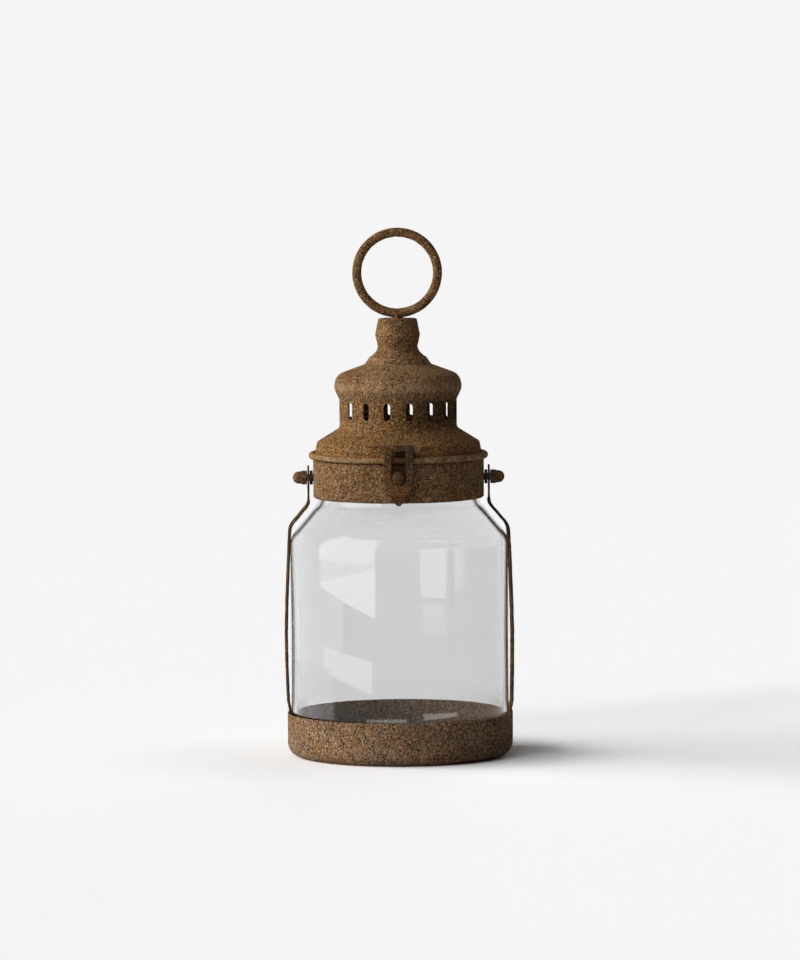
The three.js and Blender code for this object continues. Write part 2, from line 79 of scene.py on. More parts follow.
# The path moved to its left by a distance
def shifted(path, distance):
    sides = [(q - p).normalized() for p, q in zip(path, path[1:])]
    sides = [Vector((-s.y, s.x)) for s in sides]
    moved = []
    for i, point in enumerate(path):
        before, after = sides[max(i - 1, 0)], sides[min(i, len(sides) - 1)]
        middle = (before + after).normalized()
        moved.append(point + middle * distance / middle.dot(before))
    return moved


# The outline of a sheet with the path on one side and its thickness to the left, its edges eased
def sheetOutline(path, thickness, easeStart=True):
    near = [(p.x, p.y) for p in path]
    far = [(p.x, p.y) for p in shifted(path, thickness)]
    for end in (0, -1) if easeStart else (-1,):
        near[end] += (edgeShare * thickness,)
        far[end] += (edgeShare * thickness,)
    return rounded(near + far[::-1], 30)


def evened(path, longest, closed):
    points = []
    for p, q in zip(path, path[1:] + path[:1] if closed else path[1:]):
        count = max(1, math.ceil((q - p).length / longest))
        points += [p.lerp(q, k / count) for k in range(count)]
    return points if closed else points + [path[-1]]


def newPiece(name, bm):
    bmesh.ops.remove_doubles(bm, verts=bm.verts, dist=1e-7)
    bmesh.ops.recalc_face_normals(bm, faces=bm.faces)
    mesh = bpy.data.meshes.new(name)
    bm.to_mesh(mesh)
    bm.free()
    piece = bpy.data.objects.new(name, mesh)
    bpy.context.scene.collection.objects.link(piece)
    return piece


# Faces between neighbouring rings of vertices, or between rows
def bridged(bm, rings, closed=True):
    for low, high in zip(rings, rings[1:]):
        for k in range(len(low) if closed else len(low) - 1):
            j = (k + 1) % len(low)
            bm.faces.new([low[k], low[j], high[j], high[k]])


# A solid through rings of points
def lofted(name, rings):
    bm = bmesh.new()
    rings = [[bm.verts.new([value * mm for value in point]) for point in ring] for ring in rings]
    bridged(bm, rings)
    bm.faces.new(rings[0])
    bm.faces.new(rings[-1])
    return newPiece(name, bm)


# Turns an outline of (radius, z) about Z. A limit gives the widest radius at each angle, for nuts
def turned(name, outline, sides, longest=1.2, limit=None, lay=None, height=0):
    onAxis = outline[0].x < 1e-6
    path = evened(outline, longest, not onAxis)
    bm = bmesh.new()
    rings = []
    for p in path:
        if p.x < 1e-6:
            rings.append([bm.verts.new((0, 0, p.y * mm))])
            continue
        ring = []
        for k in range(sides):
            angle = 2 * math.pi * k / sides
            radius = min(p.x, limit(angle)) if limit else p.x
            ring.append(bm.verts.new((radius * math.cos(angle) * mm, radius * math.sin(angle) * mm, p.y * mm)))
        rings.append(ring)
    for low, high in zip(rings, rings[1:] if onAxis else rings[1:] + rings[:1]):
        for k in range(sides):
            j = (k + 1) % sides
            corners = [low[k % len(low)], low[j % len(low)], high[j % len(high)], high[k % len(high)]]
            bm.faces.new(list(dict.fromkeys(corners)))
    if lay:
        bm.transform(Matrix.Translation((0, 0, height * mm)) @ lay)
    return newPiece(name, bm)


def hexLimit(across):
    sixth = math.pi / 3
    return lambda angle: across / 2 / math.cos((angle + sixth / 2) % sixth - sixth / 2)


def hexCorner(across):
    return across / 2 / math.cos(math.pi / 6)


# A hexagon nut with a plain bore
def makeNut(name, hole, across, low, high, longest, lay=None, height=0):
    flat, corner, cut = across / 2 - 0.1, hexCorner(across), nutChamfer
    outline = [(hole, low), (flat, low), (corner, low + cut), (corner, high - cut), (flat, high), (hole, high)]
    return turned(name, [Vector(p) for p in outline], 96, longest, hexLimit(across), lay, height)


# Turns the modifiers of a piece into its mesh
def settled(piece):
    evaluated = piece.evaluated_get(bpy.context.evaluated_depsgraph_get())
    mesh = bpy.data.meshes.new_from_object(evaluated)
    piece.modifiers.clear()
    piece.data = mesh
    return piece


# Joins overlapping solids into one skin with soft inner corners
def fused(name, parts, voxel, passes):
    bm = bmesh.new()
    for part in parts:
        bm.from_mesh(part.data)
        bpy.data.objects.remove(part)
    piece = newPiece(name, bm)
    remesh = piece.modifiers.new("skin", "REMESH")
    remesh.mode = "VOXEL"
    remesh.voxel_size = voxel * mm
    smooth = piece.modifiers.new("soften", "SMOOTH")
    smooth.factor = 0.5
    smooth.iterations = passes
    return settled(piece)


# Gives a piece the lumps of its coat, and a slow wave as hand-worked sheet has
def roughened(piece, lumps=0.05, lumpSize=2.2, wave=0, waveSize=30, seed=0):
    vertices = piece.data.vertices
    normals = [v.normal.copy() for v in vertices]
    shift = Vector((seed, 3.7 * seed, 0.5))
    for vertex, normal in zip(vertices, normals):
        at = vertex.co / (lumpSize * mm) + shift
        height = lumps * (noise.noise(at) + 0.5 * noise.noise(2.3 * at))
        if wave:
            height += wave * noise.noise(vertex.co / (waveSize * mm) + shift)
        vertex.co += normal * height * mm
    return piece


# Shades, paints and hands over a finished piece
def handOver(piece, body, nodes, material, crease=60):
    piece.data.materials.clear()
    piece.data.materials.append(material)
    piece.data.polygons.foreach_set("use_smooth", [True] * len(piece.data.polygons))
    piece.data.set_sharp_from_angle(angle=math.radians(crease))
    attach(piece, body)
    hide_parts(*nodes)
    print("piece", piece.name, len(piece.data.polygons), "faces")
    return piece


# Adds a shader node with its inputs, which are values or the sockets of other nodes
def put(tree, kind, inputs=None, **settings):
    node = tree.nodes.new("ShaderNode" + kind)
    for name, value in settings.items():
        setattr(node, name, value)
    for key, value in (inputs or {}).items():
        if isinstance(value, bpy.types.NodeSocket):
            tree.links.new(value, node.inputs[key])
        else:
            node.inputs[key].default_value = value
    return node


def maths(tree, operation, a, b=0.0):
    return put(tree, "Math", {0: a, 1: b}, operation=operation).outputs[0]


def plus(tree, a, b):
    return maths(tree, "ADD", a, b)


def minus(tree, a, b):
    return maths(tree, "SUBTRACT", a, b)


def times(tree, a, b):
    return maths(tree, "MULTIPLY", a, b)


def mixed(tree, share, first, second):
    return put(tree, "Mix", {0: share, 6: first, 7: second}, data_type="RGBA").outputs[2]


# From 0 below the low value to 1 above the high one
def ramp(tree, value, low, high, atLow=0.0, atHigh=1.0):
    inputs = {"Value": value, "From Min": low, "From Max": high, "To Min": atLow, "To Max": atHigh}
    return put(tree, "MapRange", inputs, interpolation_type="SMOOTHSTEP").outputs[0]


def noiseAt(tree, vector, seed, scale, detail=3.0, rough=0.6):
    inputs = {"Vector": vector, "W": seed, "Scale": scale, "Detail": detail, "Roughness": rough}
    return put(tree, "TexNoise", inputs, noise_dimensions="4D").outputs["Fac"]


# A group of nodes. Its inputs come with their first values: a number, a colour, or None for a vector
def newGroup(name, inputs, outputs):
    tree = bpy.data.node_groups.new(name, "ShaderNodeTree")
    for label, value in inputs.items():
        kind = "Vector" if value is None else "Color" if isinstance(value, tuple) else "Float"
        socket = tree.interface.new_socket(label, in_out="INPUT", socket_type="NodeSocket" + kind)
        if value is not None:
            socket.default_value = value
    for label in outputs:
        kind = "Color" if label == "Color" else "Float"
        tree.interface.new_socket(label, in_out="OUTPUT", socket_type="NodeSocket" + kind)
    return tree, tree.nodes.new("NodeGroupInput").outputs


def closeGroup(tree, results):
    end = tree.nodes.new("NodeGroupOutput").inputs
    for label, socket in results.items():
        tree.links.new(socket, end[label])
    return tree


# The grains and pits of the sprayed coat
def makeGrainGroup():
    inputs = {"Vector": None, "Grain Size": 1.0, "Pit Level": 0.42, "Seed": 0.0}
    tree, given = newGroup("coat grain", inputs, ("Grain", "Pits", "Height"))
    place, seed = given["Vector"], given["Seed"]
    scale = maths(tree, "DIVIDE", 620.0, given["Grain Size"])
    fine = noiseAt(tree, place, seed, times(tree, scale, 1.2), 3.0, 0.7)
    cells = put(tree, "TexVoronoi", {"Vector": place, "W": seed, "Scale": times(tree, scale, 0.9)},
                voronoi_dimensions="4D").outputs["Distance"]
    beads = ramp(tree, cells, 0.1, 0.75, 1.0, 0.0)
    cluster = noiseAt(tree, place, plus(tree, seed, 5.3), times(tree, scale, 0.13))
    level = plus(tree, given["Pit Level"], times(tree, minus(tree, cluster, 0.5), 0.2))
    pitNoise = noiseAt(tree, place, plus(tree, seed, 11.1), times(tree, scale, 2.1), 1.0)
    pits = ramp(tree, pitNoise, minus(tree, level, 0.03), plus(tree, level, 0.02), 1.0, 0.0)
    height = plus(tree, times(tree, fine, 0.8), times(tree, beads, 0.35))
    return closeGroup(tree, {"Grain": fine, "Pits": pits, "Height": minus(tree, height, times(tree, pits, 0.45))})


# The browns of the coat, from its grains, with patches of orange and of dirt
def makeRustGroup():
    inputs = {"Vector": None, "Grain": 0.5, "Pits": 0.0, "Brown": (0.27, 0.18, 0.105, 1),
              "Tan": (0.5, 0.36, 0.24, 1), "Orange": (0.34, 0.17, 0.06, 1), "Dark": (0.04, 0.026, 0.017, 1),
              "Patch Size": 9.0, "Orange Share": 0.5, "Dirt Share": 0.5, "Seed": 0.0}
    tree, given = newGroup("rust browns", inputs, ("Color", "Roughness"))
    place, seed, grain, pits = given["Vector"], given["Seed"], given["Grain"], given["Pits"]
    scale = maths(tree, "DIVIDE", 600.0, given["Patch Size"])
    orange = ramp(tree, noiseAt(tree, place, plus(tree, seed, 20.0), scale, 5.0, 0.7), 0.46, 0.62)
    dirt = noiseAt(tree, place, plus(tree, seed, 31.0), times(tree, scale, 0.6), 4.0, 0.7)
    dirt = times(tree, ramp(tree, dirt, 0.48, 0.68), given["Dirt Share"])
    colour = mixed(tree, times(tree, orange, given["Orange Share"]), given["Brown"], given["Orange"])
    colour = mixed(tree, times(tree, ramp(tree, grain, 0.51, 0.64), 0.85), colour, given["Tan"])
    for mask, share in ((ramp(tree, grain, 0.48, 0.35), 0.75), (dirt, 0.6), (pits, 0.95)):
        colour = mixed(tree, times(tree, mask, share), colour, given["Dark"])
    rough = ramp(tree, grain, 0.35, 0.7, 0.95, 0.72)
    return closeGroup(tree, {"Color": colour, "Roughness": maths(tree, "MAXIMUM", rough, times(tree, pits, 0.97))})


# Masks of the edges that hands rub, and of the hollows, where the coat gets painted shade
def makeEdgeGroup():
    tree, given = newGroup("rubbed edges, shaded hollows", {"Vector": None, "Width": 0.06, "Seed": 0.0}, ("Edges", "Shaded Hollows"))
    bend = tree.nodes.new("ShaderNodeNewGeometry").outputs["Pointiness"]
    broken = noiseAt(tree, given["Vector"], given["Seed"], 260.0, 4.0, 0.7)
    start = plus(tree, 0.5, times(tree, given["Width"], 0.3))
    edges = ramp(tree, bend, start, plus(tree, 0.5, given["Width"]))
    shadedHollows = ramp(tree, bend, 0.49, minus(tree, 0.5, given["Width"]))
    return closeGroup(tree, {"Edges": times(tree, edges, ramp(tree, broken, 0.35, 0.6)), "Shaded Hollows": shadedHollows})


# Masks of the stains that lie at a place on the lantern, all lengths in metres
def makeStainGroup():
    inputs = {"Vector": None, "Seed": 0.0, "Soot Shade From": 0.0, "Soot Shade Full": 0.02, "Soot Shade Height": 0.2,
              "Soot Shade Reach": 0.015, "Shade Inside Radius": 0.06, "Rubbed Highlight Radius": 0.05, "Hasp Shade Foot": 0.158}
    tree, given = newGroup("stains", inputs, ("Soot And Shade", "Inside", "Rubbed Highlight", "Shade Behind Hasp"))
    x, y, z = put(tree, "SeparateXYZ", {0: given["Vector"]}).outputs
    # soot with painted shade, darker towards the side away from the lamps
    sway = minus(tree, noiseAt(tree, given["Vector"], 3.0, 120.0, 4.0, 0.7), 0.5)
    sway = times(tree, sway, 0.022)
    across = ramp(tree, plus(tree, x, sway), given["Soot Shade From"], given["Soot Shade Full"])
    away = maths(tree, "ABSOLUTE", minus(tree, z, given["Soot Shade Height"]))
    cloud = ramp(tree, plus(tree, away, sway), 0.003, given["Soot Shade Reach"], 1.0, 0.0)
    flat = put(tree, "CombineXYZ", {0: x, 1: y}).outputs[0]
    radius = put(tree, "VectorMath", {0: flat}, operation="LENGTH").outputs["Value"]
    # painted shade inside the tray, above its foot
    start = minus(tree, given["Shade Inside Radius"], 0.00015)
    inside = times(tree, ramp(tree, radius, start, given["Shade Inside Radius"], 1.0, 0.0), ramp(tree, z, 0.0075, 0.0095))
    # rubbed wear with a painted highlight, beyond a radius
    beyond = ramp(tree, radius, given["Rubbed Highlight Radius"], plus(tree, given["Rubbed Highlight Radius"], 0.0007))
    rubbedHighlight = ramp(tree, noiseAt(tree, given["Vector"], given["Seed"], 300.0, 4.0, 0.7), 0.4, 0.62, 0.05, 0.5)
    behind = maths(tree, "LESS_THAN", y, -0.04)  # painted shade on the front, beside the middle, from the hasp's foot to the lid
    behind = times(tree, behind, ramp(tree, maths(tree, "ABSOLUTE", x), 0.0035, 0.006, 1.0, 0.0))
    behind = times(tree, behind, ramp(tree, z, given["Hasp Shade Foot"], plus(tree, given["Hasp Shade Foot"], 0.004)))
    behind = times(tree, behind, ramp(tree, z, 0.173, 0.1745, 1.0, 0.0))
    return closeGroup(tree, {"Soot And Shade": times(tree, across, cloud), "Inside": inside,
                             "Rubbed Highlight": times(tree, beyond, rubbedHighlight), "Shade Behind Hasp": behind})


grainGroup = makeGrainGroup()
rustGroup = makeRustGroup()
edgeGroup = makeEdgeGroup()
stainGroup = makeStainGroup()

# What most of the coat has. Each piece changes only what differs
plainCoat = {
    "brown": (0.3, 0.166, 0.076), "tan": (0.6, 0.37, 0.19), "orange": (0.4, 0.175, 0.042),
    "dark": (0.045, 0.024, 0.011), "worn": (0.55, 0.38, 0.23), "sooty": (0.016, 0.008, 0.004),
    "grain": 0.8, "pits": 0.44, "patches": 9.0, "orangeShare": 0.55, "dirtShare": 0.4,
    "relief": 0.42, "wear": 0.4, "edgeWidth": 0.07, "hollowShadeShare": 0.85, "sheen": 0.03,
    "soot": {}, "sootShare": 0.62,  # soot with painted shade: a cloud on one side, at a height
    "inside": 0, "insideShadeShare": 0.1,  # a radius within which, above the foot, the coat gets painted shade
    "rim": 0,  # a radius beyond which the coat is rubbed and gets a painted highlight
    "hasp": 0, "haspShadeShare": 0.8,  # a height above which painted shade lies behind the hasp
}


def newMaterial(name):
    material = bpy.data.materials.new(name)
    material.use_nodes = True
    tree = material.node_tree
    tree.nodes.clear()
    return material, tree, tree.nodes.new("ShaderNodeOutputMaterial")


def rustCoat(name, seed, **changes):
    look = {**plainCoat, **changes}
    paint = {key: (*look[key], 1) for key in ("brown", "tan", "orange", "dark", "worn", "sooty")}
    material, tree, end = newMaterial(name)
    common = {"Vector": put(tree, "TexCoord").outputs["Object"], "Seed": seed}
    sizes = {"Grain Size": look["grain"], "Pit Level": look["pits"]}
    grain = put(tree, "Group", {**common, **sizes}, node_tree=grainGroup).outputs
    rust = put(tree, "Group", {
        **common, "Grain": grain["Grain"], "Pits": grain["Pits"], "Patch Size": look["patches"],
        "Orange Share": look["orangeShare"], "Dirt Share": look["dirtShare"],
        "Brown": paint["brown"], "Tan": paint["tan"], "Orange": paint["orange"], "Dark": paint["dark"],
    }, node_tree=rustGroup).outputs
    edge = put(tree, "Group", {**common, "Width": look["edgeWidth"]}, node_tree=edgeGroup).outputs
    places = {"Shade Inside Radius": look["inside"], "Rubbed Highlight Radius": look["rim"], "Hasp Shade Foot": look["hasp"], **look["soot"]}
    places = {label: value * mm for label, value in places.items() if value}
    stain = put(tree, "Group", {**common, **places}, node_tree=stainGroup).outputs
    colour = rust["Color"]
    for used, mask, share, over in (
        (True, edge["Edges"], look["wear"], "worn"),
        # painted shade in the hollows
        (True, edge["Shaded Hollows"], look["hollowShadeShare"], "dark"),
        (look["soot"], stain["Soot And Shade"], look["sootShare"], "sooty"),
        (look["inside"], stain["Inside"], look["insideShadeShare"], "dark"),
        (look["rim"], stain["Rubbed Highlight"], 1.0, "worn"),
        (look["hasp"], stain["Shade Behind Hasp"], look["haspShadeShare"], "dark"),
    ):
        if used:
            colour = mixed(tree, times(tree, mask, share), colour, paint[over])
    bump = put(tree, "Bump", {"Strength": 1.0, "Distance": look["relief"] * mm, "Height": grain["Height"]})
    surface = put(tree, "BsdfPrincipled", {
        "Base Color": colour, "Roughness": rust["Roughness"], "Specular IOR Level": look["sheen"],
        "Normal": bump.outputs["Normal"]})
    tree.links.new(surface.outputs[0], end.inputs["Surface"])
    return material


# Steel with a dull skin: blackened on the spacer nuts, bare and tarnished inside the lantern
def dullSteel(name, seed, bright, dark, metallic, rough):
    material, tree, end = newMaterial(name)
    place = put(tree, "TexCoord").outputs["Object"]
    cloud = noiseAt(tree, place, seed, 320.0, 5.0, 0.65)
    speck = noiseAt(tree, place, seed + 4.0, 1500.0, 2.0)
    colour = mixed(tree, ramp(tree, cloud, 0.35, 0.68), (*bright, 1), (*dark, 1))
    colour = mixed(tree, ramp(tree, speck, 0.6, 0.7, 0.0, 0.7), colour, (0.1, 0.055, 0.03, 1))
    bump = put(tree, "Bump", {"Strength": 1.0, "Distance": 0.06 * mm, "Height": speck})
    surface = put(tree, "BsdfPrincipled", {
        "Base Color": colour, "Metallic": metallic, "Normal": bump.outputs["Normal"],
        "Roughness": ramp(tree, cloud, 0.3, 0.7, rough - 0.12, rough + 0.12)})
    tree.links.new(surface.outputs[0], end.inputs["Surface"])
    return material


glassLook = {
    "tint": (0.855, 0.859, 0.857), "absorb": (0.5, 0.505, 0.502), "density": 10.0,  # greyer the deeper it is
    "shadow": (0.935, 0.938, 0.936), "smear": 0.02, "ripple": 0.0015,
}


def clearGlass():
    material, tree, end = newMaterial("clear glass")
    place = put(tree, "TexCoord").outputs["Object"]
    smear = noiseAt(tree, place, 2.0, 34.0, 3.0, 0.55)
    ripple = noiseAt(tree, place, 6.0, 26.0, 1.0, 0.4)
    bump = put(tree, "Bump", {"Strength": 0.6, "Distance": glassLook["ripple"] * mm, "Height": ripple})
    surface = put(tree, "BsdfPrincipled", {
        "Base Color": (*glassLook["tint"], 1), "Transmission Weight": 1.0, "IOR": 1.5,
        "Roughness": ramp(tree, smear, 0.62, 0.8, 0.0, glassLook["smear"]),
        "Normal": bump.outputs["Normal"]})
    passing = put(tree, "BsdfTransparent", {"Color": (*glassLook["shadow"], 1)})
    shadowRay = put(tree, "LightPath").outputs["Is Shadow Ray"]
    either = put(tree, "MixShader", {0: shadowRay, 1: surface.outputs[0], 2: passing.outputs[0]})
    depth = put(tree, "VolumeAbsorption", {"Color": (*glassLook["absorb"], 1), "Density": glassLook["density"]})
    tree.links.new(either.outputs[0], end.inputs["Surface"])
    tree.links.new(depth.outputs[0], end.inputs["Volume"])
    return material


glass = clearGlass()
steel = dullSteel("bare steel", 1.0, (0.42, 0.4, 0.37), (0.16, 0.13, 0.1), 0.85, 0.5)
blackened = dullSteel("blackened steel", 2.0, (0.028, 0.026, 0.024), (0.012, 0.011, 0.01), 0.3, 0.5)
hardwareCoat = rustCoat("rust coat, fittings", 8.0, grain=0.7, brown=(0.17, 0.1, 0.052),
                        tan=(0.42, 0.28, 0.17), relief=0.22, dirtShare=0.8)
print("materials ready")

# Base tray
tray = {"foot": 64.1, "rim": 64.2, "height": 24.6, "sheet": 0.6, "corner": 7.5, "sides": 300}
trayPath = rounded([(0, 0), (tray["foot"], 0, tray["corner"]), (tray["rim"], tray["height"])])
trayPiece = turned("tray", sheetOutline(trayPath, tray["sheet"], easeStart=False), tray["sides"])
roughened(trayPiece, lumps=0.09, lumpSize=2.2, wave=0.2, waveSize=26, seed=1)
for vertex in trayPiece.data.vertices:
    vertex.co.z = max(vertex.co.z, 0.0)  # it stands flat
# The tray's inner wall gets painted shade above the foot
trayCoat = rustCoat("rust coat, tray", 1.0, grain=0.95, brown=(0.33, 0.208, 0.122), orange=(0.4, 0.18, 0.065),
                    tan=(0.62, 0.43, 0.28), orangeShare=0.52, inside=63.9)
handOver(trayPiece, "base", ["base_tray"], trayCoat)

# Glass jar
jar = {"bottom": 0.9, "radius": 61.9, "wall": 2.8, "floor": 6, "heel": 8, "shoulderStart": 125.3,
       "shoulderEnd": 145.1, "shoulderRound": 14, "neck": 45.3, "neckRound": 6, "top": 165, "sides": 256,
       "punt": 1.6, "puntRadius": 30, "puntEnd": 49, "crown": (0.8, 1.2)}
lean = math.atan2(jar["radius"] - jar["neck"], jar["shoulderEnd"] - jar["shoulderStart"])
drop = jar["wall"] * math.tan(lean / 2)
bore, inside, lip = jar["neck"] - jar["wall"], jar["radius"] - jar["wall"], edgeShare * jar["wall"]
under, upon = jar["bottom"] + jar["punt"], jar["bottom"] + jar["floor"]
jarPiece = turned("jar", rounded([
    (0, under),
    (jar["puntRadius"], under, 60),
    (jar["puntEnd"], jar["bottom"], 12),
    (jar["radius"], jar["bottom"], jar["heel"]),
    (jar["radius"], jar["shoulderStart"], jar["shoulderRound"]),
    (jar["neck"], jar["shoulderEnd"], jar["neckRound"]),
    (jar["neck"], jar["top"], lip),
    (bore, jar["top"], lip),
    (bore, jar["shoulderEnd"] - drop, jar["neckRound"] + jar["wall"]),
    (inside, jar["shoulderStart"] - drop, jar["shoulderRound"] - jar["wall"]),
    (inside, upon, jar["heel"] - jar["wall"]),
    (jar["puntRadius"], upon + jar["crown"][0], 60),
    (0, upon + jar["crown"][1]),
], 7), jar["sides"], 2)
roughened(jarPiece, lumps=0, wave=0.003, waveSize=17, seed=2)
handOver(jarPiece, "base", ["glass_jar"], glass)

# Collar band
collar = {"neck": 45.6, "radius": 48.5, "bottom": 146.9, "top": 168.8, "sheet": 0.8, "round": 1.5, "sides": 280}
collarPath = rounded([(collar["neck"], collar["bottom"]), (collar["radius"], collar["bottom"], collar["round"]),
                      (collar["radius"], collar["top"])])
collarPiece = turned("collar", sheetOutline(collarPath, collar["sheet"]), collar["sides"])
roughened(collarPiece, lumps=0.075, lumpSize=2.0, wave=0.1, waveSize=22, seed=3)
# The collar gets painted shade behind the hasp
collarCoat = rustCoat("rust coat, collar", 2.0, grain=0.82, brown=(0.27, 0.157, 0.08), orangeShare=0.35,
                      pits=0.45, relief=0.4, hasp=157)
handOver(collarPiece, "base", ["collar_band"], collarCoat)

# Straps: thin strips from inside the tray, over the jar's shoulder, to the bolts. Inside the tray and at the bolts
# they are bare. The right one is twisted more, and its bow lies nearer the jar
strap = {
    "width": 9, "thickness": 1.0, "foot": 9.5, "inTray": 62.2, "aboveRim": 25.4, "rimRound": 5, "step": (63.4, 31, 5),
    "bow": (64.8, 70, 600), "bend": (61.75, 130.8, 9), "inner": (50.8, 143.6, 8), "tip": 165.3, "tipRound": 3,
    "ease": 0.35, "longest": 0.7, "coat": 0.35, "coatFrom": 23.5, "coatTo": 148, "fade": 4,
    "twist": {"right": 6, "left": 5}, "hug": {"right": 0.5, "left": 0.1}, "hugReach": 42,
}


def makeStrap(name, twist, hug):
    path = evened(rounded([
        (strap["inTray"], strap["foot"]),
        (strap["inTray"], strap["aboveRim"], strap["rimRound"]),
        strap["step"],
        strap["bow"],
        strap["bend"],
        strap["inner"],
        (strap["inner"][0], strap["tip"]),
    ]), strap["longest"], False)
    wide, thick, ease, tip = strap["width"] / 2, strap["thickness"], strap["ease"], strap["tipRound"]
    section = rounded([(0, -wide, ease), (thick, -wide, ease), (thick, wide, ease), (0, wide, ease)], 30)
    section = evened(section, strap["longest"], True)
    rings = []
    for near, far in zip(path, shifted(path, -thick)):
        toTip = min(strap["tip"] - near.y, tip)
        lost = tip - math.sqrt(max(0.0, tip**2 - (tip - toTip) ** 2))
        outward = (far - near).normalized()
        free = min(near.y - strap["coatFrom"], strap["coatTo"] - near.y, strap["fade"])
        free = max(free, 0) / strap["fade"]
        free *= free * (3 - 2 * free)
        turn = math.radians(twist) * free
        inward = hug * max(0, 1 - ((near.y - strap["bow"][1]) / strap["hugReach"]) ** 2)
        ring = []
        for across, along in section:
            along *= (wide - lost) / wide
            across += free * (strap["coat"] * (across / thick - 0.5) - wide * math.sin(turn) / 2 - inward)
            p = near + outward * across
            ring.append((p.x - along * math.sin(turn), along * math.cos(turn), p.y))
        rings.append(ring)
    return lofted(name, rings)


# The straps' coat is darkened well below the rest: painted shade
strapShadeCoat = rustCoat("rust coat, straps, painted shade", 3.0, brown=(0.085, 0.05, 0.027), tan=(0.2, 0.127, 0.072),
                     orangeShare=0.4, dirtShare=0.8)
for side, turn in (("right", 0), ("left", math.pi)):
    piece = makeStrap("strap_at_" + side, strap["twist"][side], strap["hug"][side])
    piece.data.transform(Matrix.Rotation(turn, 4, "Z"))
    roughened(piece, lumps=0.14, lumpSize=1.5, seed=4 + turn)
    handOver(piece, "base", ["strap_" + side], strapShadeCoat)

# Bolts, spacer nuts and cap nuts at both sides
fineLumps = {"lumps": 0.012, "lumpSize": 1.5}  # bare steel
fixing = {"height": 158.5, "boltRadius": 2, "boltEnd": 57.4, "headRadius": 3.5, "headSeat": 47.4, "headTop": 46,
          "hole": 2.3, "spacerStart": 48.8, "spacerEnd": 50.5, "spacerAcross": 7.8,
          "capSeat": 52.1, "capAcross": 7.6, "capHexEnd": 55.3, "capDome": 3.5, "capDepth": 57.7, "capEnd": 60.2}
for side, lay in (("right", toRight), ("left", toLeft)):
    head, shank, hole = fixing["headRadius"], fixing["boltRadius"], fixing["hole"]
    bolt = turned("bolt_at_" + side, rounded([
        (0, fixing["headTop"]),
        (head, fixing["headTop"], 0.5),
        (head, fixing["headSeat"], 0.15),
        (shank, fixing["headSeat"]),
        (shank, fixing["boltEnd"], 0.4),
        (0, fixing["boltEnd"]),
    ]), 48, 0.5, None, lay, fixing["height"])
    handOver(roughened(bolt, **fineLumps), "base", ["bolt_" + side], steel, 35)

    spacer = makeNut("spacer_at_" + side, hole, fixing["spacerAcross"], fixing["spacerStart"], fixing["spacerEnd"],
                     0.3, lay, fixing["height"])
    roughened(spacer, lumps=0.03, lumpSize=1.2, seed=2)
    handOver(spacer, "base", ["spacer_nut_" + side], blackened, 35)

    start, hexEnd, dome, depth = fixing["capSeat"], fixing["capHexEnd"], fixing["capDome"], fixing["capDepth"]
    across, corner = fixing["capAcross"], hexCorner(fixing["capAcross"])
    bore = [Vector((0, depth)), Vector((hole, depth)), Vector((hole, start))]
    skin = rounded([(across / 2 - 0.2, start), (corner, start + nutChamfer, 0.2),
                    (corner, hexEnd - nutChamfer, 0.4), (dome, hexEnd + 0.3)], 8)
    skin += arcPoints(0, fixing["capEnd"] - dome, dome, 0, 90, 8)
    capNut = turned("cap_nut_at_" + side, bore + skin, 96, 0.35, hexLimit(across), lay, fixing["height"])
    roughened(capNut, lumps=0.06, lumpSize=1.5, seed=5)
    handOver(capNut, "base", ["cap_nut_" + side], hardwareCoat, crease=50)

# Latch stud and the hinge's rivets, both headed inside the collar
inCollar, onCollar = 47.4, 48.8
stud = {"height": 161.6, "radius": 3.7, "end": 54.5, "dome": 2, "shank": 1.7, "tail": 2.9, "tailEnd": 46.5}
studPiece = turned("stud", rounded([
    (0, stud["tailEnd"]),
    (stud["tail"], stud["tailEnd"], 0.4),
    (stud["tail"], inCollar),
    (stud["shank"], inCollar),
    (stud["shank"], onCollar),
    (stud["radius"], onCollar, 0.2),
    (stud["radius"], stud["end"] - stud["dome"]),
], 8) + [Vector((stud["radius"] * math.cos(t), stud["end"] - stud["dome"] * (1 - math.sin(t))))
         for t in (math.radians(9 * k) for k in range(1, 11))], 64, 0.4, None, toFront, stud["height"])
# The stud's coat is darkened almost to black: painted shade round its head
studShadeCoat = rustCoat("rust coat, stud, painted shade", 9.0, grain=0.7, brown=(0.065, 0.04, 0.023), tan=(0.19, 0.125, 0.075),
                    orangeShare=0.2, dirtShare=1.0, wear=0.35)
handOver(roughened(studPiece, lumps=0.07, lumpSize=1.6, seed=3), "base", ["latch_stud"], studShadeCoat)

rivet = {"heights": {"lower": 153.6, "upper": 160.4}, "shank": 1.6, "head": 2.9, "headTop": 1.3, "plate": 50.3,
         "tailEnd": 46.5}
for place, height in rivet["heights"].items():
    piece = turned("rivet_" + place, rounded([
        (0, rivet["tailEnd"]),
        (rivet["head"], rivet["tailEnd"], 0.4),
        (rivet["head"], inCollar),
        (rivet["shank"], inCollar),
        (rivet["shank"], rivet["plate"]),
        (rivet["head"], rivet["plate"], 0.1),
        (rivet["head"], rivet["plate"] + rivet["headTop"], rivet["headTop"]),
        (0, rivet["plate"] + rivet["headTop"]),
    ], 8), 56, 0.4, None, toBack, height)
    handOver(roughened(piece, lumpSize=1.5, seed=height), "base", ["hinge_rivet_" + place], hardwareCoat)

